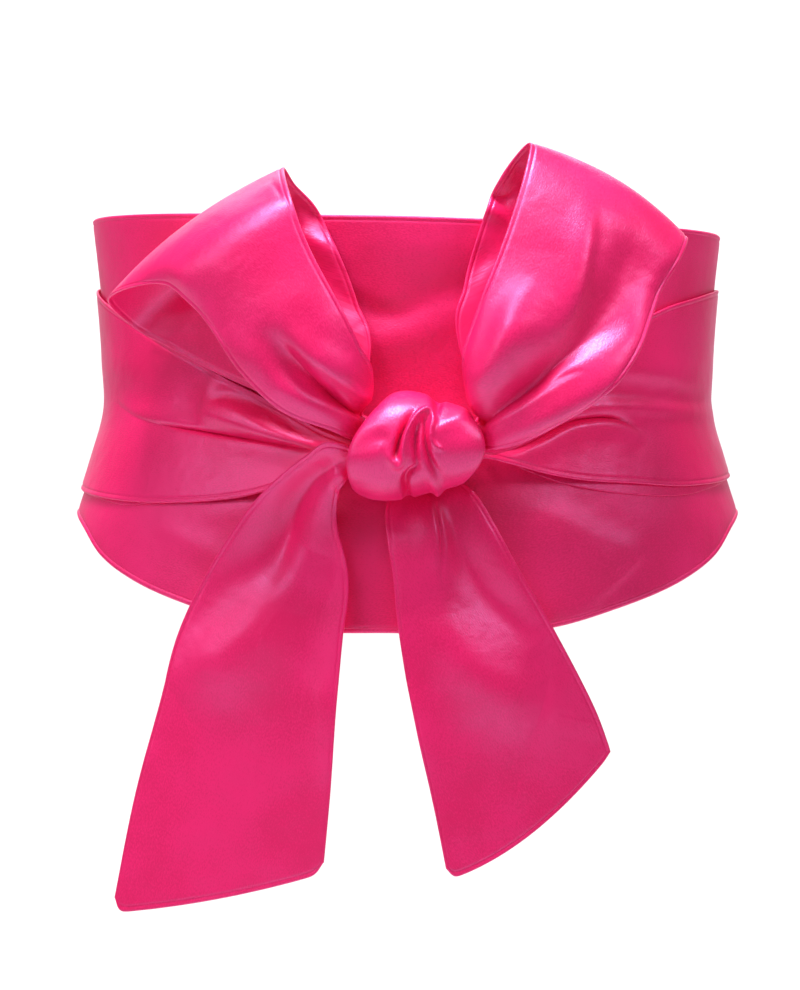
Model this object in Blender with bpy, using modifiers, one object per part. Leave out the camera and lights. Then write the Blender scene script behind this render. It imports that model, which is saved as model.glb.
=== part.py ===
"""Wide satin waist sash, wrapped round a waist and tied in front with a two-loop bow.

Metres, +Z up, front of the sash towards -Y. The origin is the middle of the waist, at the
height where the sash is drawn in most. Tables are in millimetres and degrees.
"""

from math import pi

import bmesh
import bpy
import numpy as np

MM = 0.001

# Cloth: the panel is stiffened, and a strap is two layers of satin. SWELL is the share of a
# fold's length in which it rises
PANEL_WALL = 1.8
STRAP_WALL = 1.2
SWELL = 0.3

SATIN = (0.80, 0.035, 0.17, 1.0)
PANEL_ROUGHNESS = 0.42
STRAP_ROUGHNESS = 0.36


def table(columns, *rows):
    """A short table with named columns. The first column is where each row stands."""
    return {name: np.array(values, float) for name, values in zip(columns.split(), zip(*rows))}


def read(rows, column, where):
    """A smooth curve through one column of a table, read at the places asked for."""
    first = next(iter(rows))
    at, values = rows[first], rows[column]
    slope = np.gradient(values, at)
    k = np.clip(np.searchsorted(at, where) - 1, 0, len(at) - 2)
    step = at[k + 1] - at[k]
    t = (where - at[k]) / step
    start = (1 + 2 * t) * (1 - t) ** 2 * values[k] + t * (1 - t) ** 2 * step * slope[k]
    end = t * t * (3 - 2 * t) * values[k + 1] - t * t * (1 - t) * step * slope[k + 1]
    return start + end


def fade(t):
    """1 at t = 0 and 0 from t = 1 on, with a soft start and end."""
    t = np.clip(t, 0, 1)
    return (1 - t) ** 2 * (1 + 2 * t)


def relief(folds, along, across):
    """Height of all folds of a table at each point of a cloth.

    A fold runs from start to end along the strap, and from side_a to side_b across it. It
    swells soon after its start to the height given (a depth, if negative) and dies out at its
    end. Its width is a share of the strap's.
    """
    height = np.zeros(np.broadcast(along, across).shape)
    for start, end, side_a, side_b, wide, high in zip(*folds.values()):
        t = (along - start) / (end - start)
        middle = side_a + (side_b - side_a) * np.clip(t, 0, 1)
        swell = (1 - fade(t / SWELL)) * fade(t)
        height = height + high * swell * np.exp(-(((across - middle) / wide) ** 2))
    return height


# The waist: half width of the panel's outer face at each height, and the depth of that oval as
# a share of its width
WAIST_ROUNDNESS = 0.74
WAIST = table(
    "height half_width",
    (-100, 147.0),
    (-70, 145.0),
    (-45, 141.7),
    (-33, 138.0),
    (-20, 134.0),
    (0, 128.7),
    (20, 129.3),
    (50, 131.6),
    (80, 135.0),
)


def on_waist(turn, height, level):
    """Point at a turn from the front (degrees, + to the wearer's left), a height, and a level
    above the panel's outer face."""
    half_width = read(WAIST, "half_width", height)
    angle = turn * pi / 180
    x = (half_width + level) * np.sin(angle)
    y = -(half_width * WAIST_ROUNDNESS + level) * np.cos(angle)
    return np.stack([x, y, height + 0 * x], axis=-1)


def grid(rows, columns, first=0.0, last=1.0):
    """Places along a strap and across it, for a net of points."""
    along = np.linspace(first, last, rows)[:, None]
    across = np.linspace(0, 1, columns)[None, :]
    return np.broadcast_arrays(along, across)


def raised(points, height):
    """The points moved out along the surface's own normal by a height."""
    across = np.cross(np.gradient(points, axis=0), np.gradient(points, axis=1))
    normal = across / np.linalg.norm(across, axis=-1, keepdims=True)
    return points + normal * height[..., None]


# Object making

def satin(name, roughness):
    material = bpy.data.materials.new(name + "_satin")
    material.use_nodes = True
    shader = material.node_tree.nodes["Principled BSDF"]
    shader.inputs["Base Color"].default_value = SATIN
    shader.inputs["Roughness"].default_value = roughness
    shader.inputs["Metallic"].default_value = 0.0
    return material


def placed(name, mesh, roughness):
    bm = bmesh.new()
    bm.from_mesh(mesh)
    bmesh.ops.recalc_face_normals(bm, faces=bm.faces)
    bm.to_mesh(mesh)
    bm.free()
    mesh.shade_smooth()
    mesh.materials.append(satin(name, roughness))
    obj = bpy.data.objects.new(name, mesh)
    PARTS.objects.link(obj)
    return obj


def sheet(name, points, wall, roughness):
    """A cloth wall: the middle surface as a loft of its sections, given its thickness."""
    rows, columns = points.shape[:2]
    corners = [
        (r * columns + c, (r + 1) * columns + c, (r + 1) * columns + c + 1, r * columns + c + 1)
        for r in range(rows - 1)
        for c in range(columns - 1)
    ]
    mesh = bpy.data.meshes.new(name)
    mesh.from_pydata((points.reshape(-1, 3) * MM).tolist(), [], corners)
    obj = placed(name, mesh, roughness)
    thicken = obj.modifiers.new("wall", "SOLIDIFY")
    thicken.thickness = wall * MM
    thicken.offset = 0
    thicken.use_even_offset = True
    return obj


# Front panel: the wide shaped belt that goes round the waist, highest at the front

PANEL = table(
    "turn top bottom",
    (0, 76.0, -92.0),
    (24, 76.0, -89.8),
    (36, 76.5, -82.5),
    (51, 77.0, -72.0),
    (62, 77.3, -62.5),
    (72, 77.5, -51.5),
    (82, 77.5, -46.0),
    (92, 77.0, -44.0),
    (112, 68.0, -43.5),
    (128, 53.0, -42.5),
    (141, 46.0, -42.0),
)
PANEL_HALF_TURN = 140.0
PANEL_LEVEL = -0.9
TOP_TILT = 3.4
PANEL_SECTIONS = 57
PANEL_POINTS = 13


def panel():
    turn, across = grid(PANEL_SECTIONS, PANEL_POINTS, -PANEL_HALF_TURN, PANEL_HALF_TURN)
    top = read(PANEL, "top", abs(turn)) - TOP_TILT * np.sin(turn * pi / 180)
    bottom = read(PANEL, "bottom", abs(turn))
    height = bottom + (top - bottom) * across
    sheet("front_panel", on_waist(turn, height, PANEL_LEVEL), PANEL_WALL, PANEL_ROUGHNESS)


# Waist straps: each starts at the panel's far end behind, crosses at the middle of the back,
# comes round its side and is gathered into the knot

WRAP_LEFT = table(
    "turn low high level",
    (7.3, -23.5, -17.0, 13.5),
    (9.6, -25.0, -14.5, 13.2),
    (14, -28.0, -10.5, 10.5),
    (20, -32.5, -3.5, 6.0),
    (27, -37.0, 4.0, 3.2),
    (34, -39.0, 11.0, 1.9),
    (41, -39.7, 18.0, 1.5),
    (50, -39.7, 26.5, 1.4),
    (62, -38.3, 36.5, 1.3),
    (75, -36.0, 45.0, 1.3),
    (90, -33.5, 51.5, 1.3),
    (120, -35.0, 51.0, 1.3),
    (150, -30.0, 50.0, 1.4),
    (163, -14.0, 48.5, 1.5),
    (172, 4.2, 46.0, 1.5),
    (180, 3.4, 45.0, -0.1),
    (188, 4.0, 45.0, -1.7),
    (198, -22.0, 46.5, -1.7),
    (208, -39.0, 46.5, -1.4),
    (219.3, -42.0, 46.0, -1.0),
)
WRAP_LEFT_FOLDS = table(
    "start end side_a side_b wide high",
    (8, 46, 0.62, 0.70, 0.09, 3.4),
    (8, 44, 0.78, 0.88, 0.06, -2.0),
    (8, 60, 0.50, 0.46, 0.05, -1.2),
    (8, 40, 0.22, 0.20, 0.09, 1.8),
    (172, 150, 0.35, 0.30, 0.10, 1.6),
    (172, 150, 0.70, 0.72, 0.10, 1.6),
)
WRAP_RIGHT = table(
    "turn low high level",
    (9.8, -22.5, -14.5, 13.0),
    (12.0, -22.0, -12.5, 13.0),
    (16, -24.0, -7.0, 10.5),
    (23, -28.0, 6.0, 5.5),
    (30, -30.5, 17.0, 2.8),
    (41, -31.8, 30.0, 1.6),
    (54, -33.0, 41.0, 1.3),
    (65, -32.0, 45.8, 1.3),
    (90, -28.4, 51.6, 1.3),
    (120, -29.5, 50.0, 1.3),
    (150, -33.0, 44.0, 1.4),
    (163, -36.5, 23.0, 1.5),
    (172, -38.5, 2.0, 1.5),
    (180, -38.0, 2.2, -0.1),
    (188, -38.5, 2.0, -1.7),
    (198, -41.0, 28.0, -1.7),
    (208, -42.0, 44.0, -1.4),
    (219.3, -42.0, 46.0, -1.0),
)
WRAP_RIGHT_FOLDS = table(
    "start end side_a side_b wide high",
    (10, 50, 0.62, 0.50, 0.08, -1.0),
    (10, 52, 0.40, 0.34, 0.09, 3.0),
    (10, 44, 0.78, 0.80, 0.08, 2.2),
    (172, 150, 0.32, 0.30, 0.10, 1.6),
    (172, 150, 0.70, 0.72, 0.10, 1.6),
)
WRAP_SECTIONS = 48
WRAP_POINTS = 12
WRAP_CROWDING = 1.15


def wrap(name, side, rows, folds):
    """side is -1 on the sash's left as seen from the front, and 1 on its right. The sections
    crowd together towards the knot."""
    place, across = grid(WRAP_SECTIONS, WRAP_POINTS)
    first, last = rows["turn"][0], rows["turn"][-1]
    turn = first + (last - first) * place**WRAP_CROWDING
    low, high = read(rows, "low", turn), read(rows, "high", turn)
    level = read(rows, "level", turn) + relief(folds, turn, across)
    points = on_waist(side * turn, low + (high - low) * across, level)
    sheet(name, points, STRAP_WALL, STRAP_ROUGHNESS)


# Bow loops: one strap out from the knot, round an outer fold and back. Its two edges are given
# at each section, the lower and outer one first

LOOP_LEFT = table(
    "at low_x low_y low_z high_x high_y high_z crown",
    (0.00, -17.0, -124.0, -15.5, -14.8, -117.0, -6.5, 0.0),
    (0.03, -23.0, -127.5, -14.5, -17.8, -119.5, -3.0, 0.4),
    (0.06, -30.0, -131.0, -11.5, -14.8, -124.0, 8.0, 1.5),
    (0.14, -50.0, -136.0, -3.5, -19.5, -136.5, 23.0, 4.0),
    (0.22, -66.0, -134.0, 11.5, -28.0, -139.5, 40.0, 7.0),
    (0.30, -78.0, -129.5, 29.0, -37.0, -137.5, 57.0, 6.5),
    (0.36, -86.7, -124.0, 39.2, -42.4, -134.5, 68.7, 6.0),
    (0.42, -98.4, -115.5, 47.5, -46.3, -129.0, 81.4, 5.5),
    (0.46, -111.2, -104.5, 47.4, -48.6, -121.0, 89.4, 5.0),
    (0.50, -122.0, -87.0, 43.1, -49.4, -110.0, 94.3, 4.5),
    (0.55, -115.0, -68.0, 34.0, -45.5, -102.0, 88.5, 2.0),
    (0.62, -99.0, -72.0, 24.5, -37.5, -99.0, 80.0, -4.0),
    (0.72, -76.0, -85.5, 12.0, -28.5, -99.5, 62.0, -5.5),
    (0.82, -56.0, -97.5, 3.0, -20.5, -103.0, 42.0, -4.0),
    (0.92, -36.0, -107.0, -8.0, -15.0, -108.0, 18.0, -1.0),
    (0.96, -26.5, -111.5, -12.3, -18.2, -111.0, -2.0, 0.0),
    (1.00, -17.1, -115.5, -16.0, -14.9, -112.0, -7.5, 0.0),
)
LOOP_LEFT_FOLDS = table(
    "start end side_a side_b wide high",
    (0.04, 0.33, 0.45, 0.38, 0.10, -7.5),
    (0.04, 0.34, 0.20, 0.14, 0.14, 4.5),
    (0.04, 0.30, 0.76, 0.62, 0.13, 2.0),
)
LOOP_RIGHT = table(
    "at low_x low_y low_z high_x high_y high_z crown",
    (0.00, 24.9, -125.0, -19.0, 24.9, -117.5, -9.0, 0.0),
    (0.03, 31.5, -128.5, -19.0, 27.8, -120.5, -4.5, 0.4),
    (0.06, 38.0, -131.5, -18.0, 22.8, -127.0, 3.0, 1.5),
    (0.14, 56.0, -136.0, -10.0, 19.5, -136.5, 16.0, 4.0),
    (0.22, 74.0, -134.5, 3.0, 24.0, -138.0, 31.0, 7.0),
    (0.30, 88.4, -129.5, 17.9, 30.5, -137.0, 45.9, 7.5),
    (0.36, 97.7, -123.5, 31.8, 36.4, -134.0, 60.8, 7.0),
    (0.42, 105.5, -115.5, 47.1, 41.9, -129.0, 76.7, 6.5),
    (0.46, 110.9, -106.5, 58.5, 45.9, -122.5, 90.1, 6.0),
    (0.50, 113.6, -91.5, 67.1, 48.7, -112.5, 103.4, 5.5),
    (0.55, 109.0, -76.0, 58.0, 42.5, -106.5, 99.0, 2.0),
    (0.62, 99.5, -75.5, 41.0, 35.5, -103.0, 88.5, -3.0),
    (0.72, 80.0, -86.0, 19.0, 28.0, -103.0, 68.0, -5.0),
    (0.82, 62.0, -96.5, 6.0, 22.5, -104.5, 48.0, -4.0),
    (0.92, 42.0, -106.0, -5.0, 20.5, -107.5, 22.0, -1.0),
    (0.96, 32.5, -110.8, -10.0, 27.6, -110.5, -2.5, 0.0),
    (1.00, 24.9, -115.5, -14.0, 24.9, -112.0, -8.5, 0.0),
)
LOOP_RIGHT_FOLDS = table(
    "start end side_a side_b wide high",
    (0.04, 0.34, 0.42, 0.36, 0.09, -7.5),
    (0.04, 0.38, 0.20, 0.14, 0.13, 4.0),
    (0.05, 0.34, 0.72, 0.66, 0.16, 4.0),
    (0.20, 0.47, 0.44, 0.46, 0.12, -3.0),
)
LOOP_SECTIONS = 37
LOOP_POINTS = 13


def between_edges(rows, at, across):
    """Straight across from the low edge to the high edge at each section."""
    low = np.stack([read(rows, "low_" + axis, at) for axis in "xyz"], axis=-1)
    high = np.stack([read(rows, "high_" + axis, at) for axis in "xyz"], axis=-1)
    return low + (high - low) * across[..., None]


def loop(name, outward, rows, folds):
    """outward is 1 or -1, the side of the lofted strap that faces out of the loop."""
    at, across = grid(LOOP_SECTIONS, LOOP_POINTS)
    crown = read(rows, "crown", at) * 4 * across * (1 - across)
    height = crown + relief(folds, at, across)
    points = raised(between_edges(rows, at, across), outward * height)
    sheet(name, points, STRAP_WALL, STRAP_ROUGHNESS)


# Tails: the strap's free ends, gathered at the knot and opening out to their slanted cut ends

TAIL_LEFT = table(
    "at low_x low_y low_z high_x high_y high_z",
    (0.00, -18.2, -126.5, -20.0, -20.4, -120.5, -28.5),
    (0.025, -24.0, -129.0, -17.2, -24.2, -122.0, -30.0),
    (0.05, -31.0, -130.0, -15.5, -26.5, -122.5, -33.5),
    (0.10, -40.0, -123.5, -20.5, -27.8, -118.5, -37.0),
    (0.16, -50.2, -116.5, -28.0, -28.5, -115.5, -43.0),
    (0.24, -62.4, -108.0, -40.0, -27.5, -113.5, -51.5),
    (0.32, -74.0, -101.5, -56.2, -24.8, -113.5, -61.0),
    (0.42, -85.2, -96.5, -75.3, -23.6, -114.5, -75.0),
    (0.52, -92.8, -93.5, -92.5, -25.8, -115.5, -92.0),
    (0.66, -100.7, -93.5, -121.6, -28.3, -116.0, -120.0),
    (0.84, -111.2, -92.5, -160.8, -31.0, -114.0, -156.0),
    (1.00, -120.2, -91.5, -206.1, -34.0, -112.0, -188.0),
)
TAIL_LEFT_FOLDS = table(
    "start end side_a side_b wide high",
    (0, 0.42, 0.52, 0.46, 0.10, -5.0),
    (0, 0.50, 0.78, 0.74, 0.13, 3.5),
    (0, 0.34, 0.22, 0.20, 0.12, 3.0),
    (0.30, 0.75, 0.28, 0.30, 0.18, 2.4),
)
TAIL_RIGHT = table(
    "at low_x low_y low_z high_x high_y high_z",
    (0.00, 21.5, -106.0, -31.0, -8.5, -106.0, -35.0),
    (0.08, 28.0, -109.5, -37.5, -9.2, -110.5, -44.5),
    (0.18, 35.5, -110.5, -50.0, -8.2, -115.0, -55.0),
    (0.28, 43.0, -110.0, -64.0, -6.2, -117.5, -68.0),
    (0.42, 55.5, -108.0, -85.0, -4.5, -120.5, -86.0),
    (0.56, 67.0, -104.5, -106.0, -1.0, -122.0, -109.0),
    (0.70, 75.5, -101.0, -123.0, 3.5, -122.0, -132.0),
    (0.85, 80.5, -98.0, -136.0, 10.0, -120.0, -160.0),
    (1.00, 82.0, -97.0, -141.0, 16.0, -118.0, -190.0),
)
TAIL_RIGHT_FOLDS = table(
    "start end side_a side_b wide high",
    (0, 0.40, 0.58, 0.62, 0.08, -4.0),
    (0, 0.50, 0.80, 0.82, 0.13, 2.4),
    (0, 0.62, 0.34, 0.36, 0.16, 3.6),
    (0, 0.34, 0.10, 0.08, 0.10, -2.0),
)
TAIL_SECTIONS = 24
TAIL_POINTS = 12
CUT_BOW_LEFT = 2.4
CUT_BOW_RIGHT = 7.5


def tail(name, outward, rows, folds, cut_bow):
    """outward is 1 or -1, the side of the lofted strap that faces the front. The cut end is
    rounded out by cut_bow in its middle."""
    at, across = grid(TAIL_SECTIONS, TAIL_POINTS)
    points = raised(between_edges(rows, at, across), outward * relief(folds, at, across))
    points[..., 2] -= cut_bow * 4 * across * (1 - across) * at**3
    sheet(name, points, STRAP_WALL, STRAP_ROUGHNESS)


# Knot: the band that the straps are tied with. It runs over the front from top to bottom, and
# its left and right ends are dished where the straps go in

KNOT_BAND = table(
    "across half_height half_depth",
    (0.00, 17.5, 17.5),
    (0.12, 20.5, 20.0),
    (0.28, 21.6, 21.0),
    (0.50, 20.6, 20.2),
    (0.72, 17.8, 19.0),
    (0.90, 16.2, 18.2),
    (1.00, 14.5, 16.0),
)
KNOT_PROFILE = table(
    "share across rim size",
    (0.00, 0.00, 0.00, 0.00),
    (0.09, 0.00, 0.00, 0.52),
    (0.15, 0.00, 0.05, 0.76),
    (0.20, 0.00, 0.85, 0.87),
    (0.25, 0.02, 1.00, 0.96),
    (0.36, 0.14, 1.00, 1.00),
    (0.64, 0.86, 1.00, 1.00),
    (0.75, 0.98, 1.00, 0.96),
    (0.80, 1.00, 0.85, 0.87),
    (0.85, 1.00, 0.05, 0.76),
    (0.91, 1.00, 0.00, 0.52),
    (1.00, 1.00, 0.00, 0.00),
)
KNOT_FOLDS = table(
    "start end side_a side_b wide high",
    (15, -24, 0.42, 0.33, 0.035, -4.5),
    (8, -70, 0.545, 0.62, 0.035, -3.2),
    (-80, -22, 0.44, 0.49, 0.035, -3.0),
    (75, 25, 0.64, 0.60, 0.05, -3.5),
)
KNOT_SECTIONS = 32
KNOT_RINGS = 28
KNOT_CENTRE = (0.0, -118.5, -17.0)
KNOT_BACK_SHARE = 0.88
KNOT_LEFT = -17.0
KNOT_LEFT_LEAN = 6.0
KNOT_LEFT_SWELL = 6.5
KNOT_RIGHT = 23.5
KNOT_RIGHT_LEAN = 0.5
KNOT_RIGHT_SWELL = 7.5
DISH_LEFT = -16.5
DISH_LEFT_SLOPE = 0.25
DISH_RIGHT = 23.9


def knot():
    """Rings from the middle of the left dish over the band to the middle of the right one."""
    share = np.linspace(0, 1, KNOT_RINGS)[1:-1, None]
    around = np.linspace(-180, 180, KNOT_SECTIONS + 1)[None, :-1]
    share, around = np.broadcast_arrays(share, around)
    across = np.clip(read(KNOT_PROFILE, "across", share), 0, 1)
    size = read(KNOT_PROFILE, "size", share)
    angle = around * pi / 180
    left = KNOT_LEFT + KNOT_LEFT_LEAN * np.sin(angle) - KNOT_LEFT_SWELL * np.cos(angle) ** 2
    right = KNOT_RIGHT - KNOT_RIGHT_LEAN * np.sin(angle) + KNOT_RIGHT_SWELL * np.cos(angle) ** 2
    dent = relief(KNOT_FOLDS, around, across)
    y = -(read(KNOT_BAND, "half_depth", across) + dent) * size * np.cos(angle)
    y = np.where(y > 0, y * KNOT_BACK_SHARE, y)
    z = (read(KNOT_BAND, "half_height", across) + dent) * size * np.sin(angle)
    edge = left + (right - left) * across
    floor = np.where(share < 0.5, DISH_LEFT + DISH_LEFT_SLOPE * z, DISH_RIGHT)
    x = floor + (edge - floor) * read(KNOT_PROFILE, "rim", share)
    rings = np.stack([x, y, z], axis=-1) + KNOT_CENTRE
    ends = [rings[0].mean(axis=0), rings[-1].mean(axis=0)]
    count, columns = rings.shape[:2]
    first_pole, last_pole = count * columns, count * columns + 1
    faces = []
    for c in range(columns):
        after = (c + 1) % columns
        faces.append((first_pole, after, c))
        faces.append((last_pole, (count - 1) * columns + c, (count - 1) * columns + after))
        for r in range(count - 1):
            a, b = r * columns, (r + 1) * columns
            faces.append((a + c, a + after, b + after, b + c))
    mesh = bpy.data.meshes.new("knot")
    points = np.concatenate([rings.reshape(-1, 3), ends])
    mesh.from_pydata((points * MM).tolist(), [], faces)
    placed("knot", mesh, STRAP_ROUGHNESS)


# The scene

for old in list(bpy.data.objects):
    bpy.data.objects.remove(old, do_unlink=True)
PARTS = bpy.data.collections.new("satin_sash")
bpy.context.scene.collection.children.link(PARTS)

panel()
wrap("wrap_left", -1, WRAP_LEFT, WRAP_LEFT_FOLDS)
wrap("wrap_right", 1, WRAP_RIGHT, WRAP_RIGHT_FOLDS)
loop("loop_left", -1, LOOP_LEFT, LOOP_LEFT_FOLDS)
loop("loop_right", 1, LOOP_RIGHT, LOOP_RIGHT_FOLDS)
tail("tail_left", 1, TAIL_LEFT, TAIL_LEFT_FOLDS, CUT_BOW_LEFT)
tail("tail_right", -1, TAIL_RIGHT, TAIL_RIGHT_FOLDS, CUT_BOW_RIGHT)
knot()
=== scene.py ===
from math import pi, radians

import bmesh
import bpy
import numpy as np
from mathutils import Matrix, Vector


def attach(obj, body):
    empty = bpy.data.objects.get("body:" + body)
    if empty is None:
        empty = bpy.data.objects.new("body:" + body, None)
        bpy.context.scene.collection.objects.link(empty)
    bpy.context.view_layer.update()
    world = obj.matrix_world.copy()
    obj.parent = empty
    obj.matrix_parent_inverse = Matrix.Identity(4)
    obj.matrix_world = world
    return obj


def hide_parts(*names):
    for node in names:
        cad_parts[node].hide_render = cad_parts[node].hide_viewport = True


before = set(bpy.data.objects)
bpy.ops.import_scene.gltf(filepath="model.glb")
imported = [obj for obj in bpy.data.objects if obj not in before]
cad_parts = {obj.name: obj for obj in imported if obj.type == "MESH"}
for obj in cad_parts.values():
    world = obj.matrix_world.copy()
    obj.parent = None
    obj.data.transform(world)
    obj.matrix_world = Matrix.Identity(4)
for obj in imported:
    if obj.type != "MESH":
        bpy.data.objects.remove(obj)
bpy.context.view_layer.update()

# Front panel
# The wide shaped belt of the sash: satin outside and inside over a stiffening, its edges turned
# in. It goes round the waist to behind the sides, and it is cut so that its lower edge sweeps up.

MM = 0.001
PANEL_WALL = 1.8
PANEL_LEVEL = -0.9
PANEL_HALF_TURN = 140.0
PANEL_HEIGHT = 165.0
PANEL_TOP_TILT = 3.4
PANEL_SEAM = 0.25
PANEL_FOLDS_TURN = 62.0
PANEL_FOLDS_FADE = 16.0
WAIST_ROUNDNESS = 0.74


def table(columns, *rows):
    """A short table with named columns, in millimetres. The first says where each row stands."""
    return {name: np.array(values, float) for name, values in zip(columns.split(), zip(*rows))}


def read(rows, column, where):
    """A smooth curve through one column of a table, read at the places asked for."""
    first = next(iter(rows))
    at, values = rows[first], rows[column]
    slope = np.gradient(values, at)
    k = np.clip(np.searchsorted(at, where) - 1, 0, len(at) - 2)
    step = at[k + 1] - at[k]
    t = (where - at[k]) / step
    start = (1 + 2 * t) * (1 - t) ** 2 * values[k] + t * (1 - t) ** 2 * step * slope[k]
    end = t * t * (3 - 2 * t) * values[k + 1] - t * t * (1 - t) * step * slope[k + 1]
    return start + end


def fade(t):
    """1 at t = 0 and 0 from t = 1 on, with a soft start and end."""
    t = np.clip(t, 0, 1)
    return (1 - t) ** 2 * (1 + 2 * t)


WAIST = table(
    "height half_width",
    (-100, 147.0),
    (-70, 145.0),
    (-45, 141.7),
    (-33, 138.0),
    (-20, 134.0),
    (0, 128.7),
    (20, 129.3),
    (50, 131.6),
    (80, 135.0),
)
PANEL = table(
    "turn top bottom",
    (0, 76.0, -92.0),
    (24, 76.0, -89.8),
    (36, 76.5, -82.5),
    (51, 77.0, -72.0),
    (62, 77.3, -62.5),
    (72, 77.5, -51.5),
    (82, 77.5, -46.0),
    (92, 77.0, -44.0),
    (112, 68.0, -43.5),
    (128, 53.0, -42.5),
    (141, 46.0, -42.0),
)


def on_waist(turn, height, level):
    """Point at a turn from the front (degrees, + to the right in front view), a height, and a
    level above the panel's outer face."""
    half_width = read(WAIST, "half_width", height)
    angle = turn * pi / 180
    x = (half_width + level) * np.sin(angle)
    y = -(half_width * WAIST_ROUNDNESS + level) * np.cos(angle)
    return np.stack([x, y, height + 0 * x], axis=-1)


EDGE_STEPS = np.array([0, 0.1, 0.3, 0.6, 1.0, 1.4, 1.8, 2.1, 2.4, 2.8])
EDGE_MARGIN = 3.2


def crowded(count, width):
    """Places from 0 to 1 across a cloth of that width, closer together near both edges."""
    close = EDGE_STEPS / width
    middle = np.linspace(EDGE_MARGIN / width, 1 - EDGE_MARGIN / width, count)
    return np.concatenate([close, middle, 1 - close[::-1]])


def normals(points):
    """The direction that a net of points faces at each of them."""
    across = np.cross(np.gradient(points, axis=0), np.gradient(points, axis=1))
    return across / np.maximum(np.linalg.norm(across, axis=-1, keepdims=True), 1e-9)


def lengths(points, axis):
    """Length along each row or column of a net of points, from its start."""
    step = np.linalg.norm(np.diff(points, axis=axis), axis=-1)
    total = np.cumsum(step, axis=axis)
    shape = list(total.shape)
    shape[axis] = 1
    return np.concatenate([np.zeros(shape), total], axis=axis)


# The photograph's camera, because the folds are placed where the photograph shows them.
VIEW_DISTANCE = 1600.0
VIEW_SIDE = -3.2
VIEW_HEIGHT = -36.6
PIXELS_PER_SLOPE = 3721.0
PICTURE_MIDDLE = (400.0, 495.0)


def in_picture(points):
    """Where the photograph shows each point, in its 800 x 990 pixels."""
    depth = VIEW_DISTANCE + points[..., 1]
    right = PICTURE_MIDDLE[0] + PIXELS_PER_SLOPE * (points[..., 0] - VIEW_SIDE) / depth
    down = PICTURE_MIDDLE[1] - PIXELS_PER_SLOPE * (points[..., 2] - VIEW_HEIGHT) / depth
    return np.stack([right, down], axis=-1)


def traced(columns, rows):
    """A line over the photograph: px and py are its places in pixels, right and down."""
    return table("at " + columns, *[(k,) + row for k, row in enumerate(rows)])


def fold_line(*rows):
    """A line for roll: each row is px, py, high, left and right."""
    return traced("px py high left right", rows)


def tuck_line(*rows):
    """A line for tuck: each row is px, py, left and right."""
    return traced("px py left right", rows)


LINE_STEPS = 12


def nearest(seen, line):
    """For each seen point: the nearest place on a line, the distance in pixels, and whether it
    is to the line's left, as one goes along it in the picture."""
    last = len(line["at"]) - 1
    t = np.linspace(0, last, last * LINE_STEPS + 1)
    way = np.stack([read(line, "px", t), read(line, "py", t)], axis=-1)
    apart = seen[..., None, :] - way
    k = (apart**2).sum(axis=-1).argmin(axis=-1)
    offset = np.take_along_axis(apart, k[..., None, None], axis=-2)[..., 0, :]
    heading = np.gradient(way, axis=0)[k]
    onward = (offset * heading).sum(axis=-1) / (heading**2).sum(axis=-1)
    onward = np.clip(onward, np.where(k == 0, 0, -1), np.where(k == len(t) - 1, 0, 1))
    offset = offset - onward[..., None] * heading
    left = heading[..., 0] * offset[..., 1] - heading[..., 1] * offset[..., 0] < 0
    return t[k] + onward / LINE_STEPS, np.linalg.norm(offset, axis=-1), left


def roll(seen, line):
    """A soft ridge, or a trough if high is negative, along a line with columns high, left and
    right: its height in mm, and how wide it is to its left and right in pixels."""
    t, distance, left = nearest(seen, line)
    wide = np.where(left, read(line, "left", t), read(line, "right", t))
    return read(line, "high", t) * np.exp(-((distance / wide) ** 2))


def tuck(seen, line, near=3.5, far=18.0):
    """A pinched crease: the cloth rises on both sides of a line, by its columns left and right
    in mm, within near pixels, and settles again within far pixels."""
    t, distance, left = nearest(seen, line)
    high = np.where(left, read(line, "left", t), read(line, "right", t))
    return high * (1 - np.exp(-distance / near)) * np.exp(-((distance / far) ** 2))


# The seam is a pressed line this far inside each edge.
SEAM_INSET = 2.0
SEAM_WIDTH = 0.42


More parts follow.
